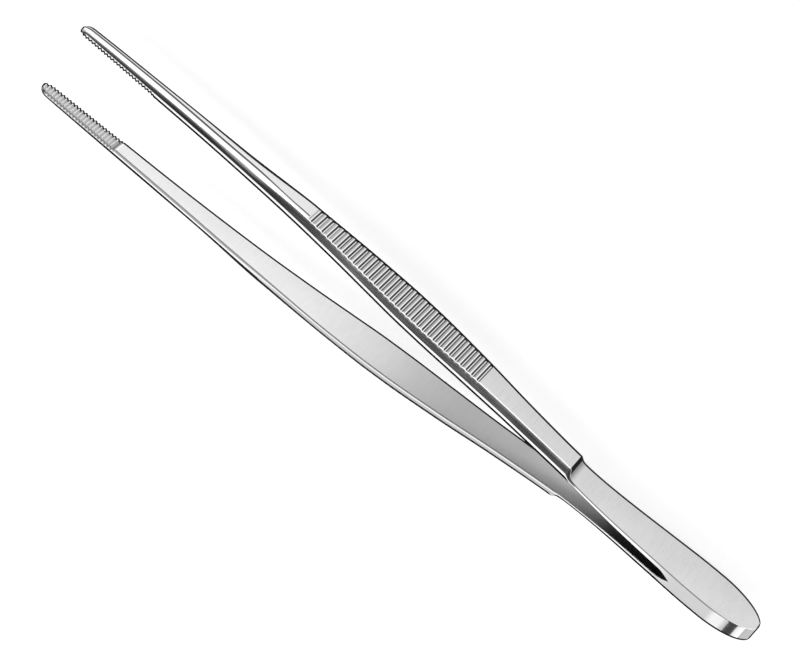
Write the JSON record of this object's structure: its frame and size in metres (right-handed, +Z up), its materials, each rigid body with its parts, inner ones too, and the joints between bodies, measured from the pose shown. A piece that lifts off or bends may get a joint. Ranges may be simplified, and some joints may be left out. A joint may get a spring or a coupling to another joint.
{
  "type": "print tongs",
  "caption": "Slim steel spring tongs with two sprung arms joined at a flat rounded heel, fluted finger grips and serrated tips.",
  "frame": {"origin": "centre of the footprint, on the surface that the tongs lie on", "axes": "+X from the heel to the tips, +Y the way the left arm opens, +Z up along the width of the arms"},
  "size_m": [0.1598, 0.0172, 0.0122],
  "materials": {
    "serrated_steel": "satin stainless steel with cut crosswise teeth",
    "polished_steel": "polished stainless steel",
    "fluted_steel": "polished stainless steel with pressed crosswise flutes",
    "satin_steel": "satin stainless steel with a faint crosswise grain"
  },
  "bodies": {
    "heel": {"left_heel": "satin_steel", "right_heel": "satin_steel", "left_leaf_rear": "satin_steel", "right_leaf_rear": "satin_steel"},
    "left_arm": {"left_leaf_front": "satin_steel", "left_shoulder": "satin_steel", "left_grip": "fluted_steel", "left_shank": "polished_steel", "left_jaw": "serrated_steel"},
    "right_arm": {"right_leaf_front": "satin_steel", "right_shoulder": "satin_steel", "right_grip": "fluted_steel", "right_shank": "polished_steel", "right_jaw": "serrated_steel"}
  },
  "joints": [
    {"name": "left_leaf_flex", "type": "hinge", "parent": "heel", "child": "left_arm", "pos_m": [-0.049, 0.0012, 0.0061], "axis": [0, 0, -1], "range_deg": [0, 2.95], "stiffness_Nm_per_rad": 2},
    {"name": "right_leaf_flex", "type": "hinge", "parent": "heel", "child": "right_arm", "pos_m": [-0.049, -0.0012, 0.0061], "axis": [0, 0, 1], "range_deg": [0, 2.95], "stiffness_Nm_per_rad": 2}
  ],
  "couplings": [
    {"joint": "right_leaf_flex", "follows": "left_leaf_flex", "ratio": 1}
  ]
}
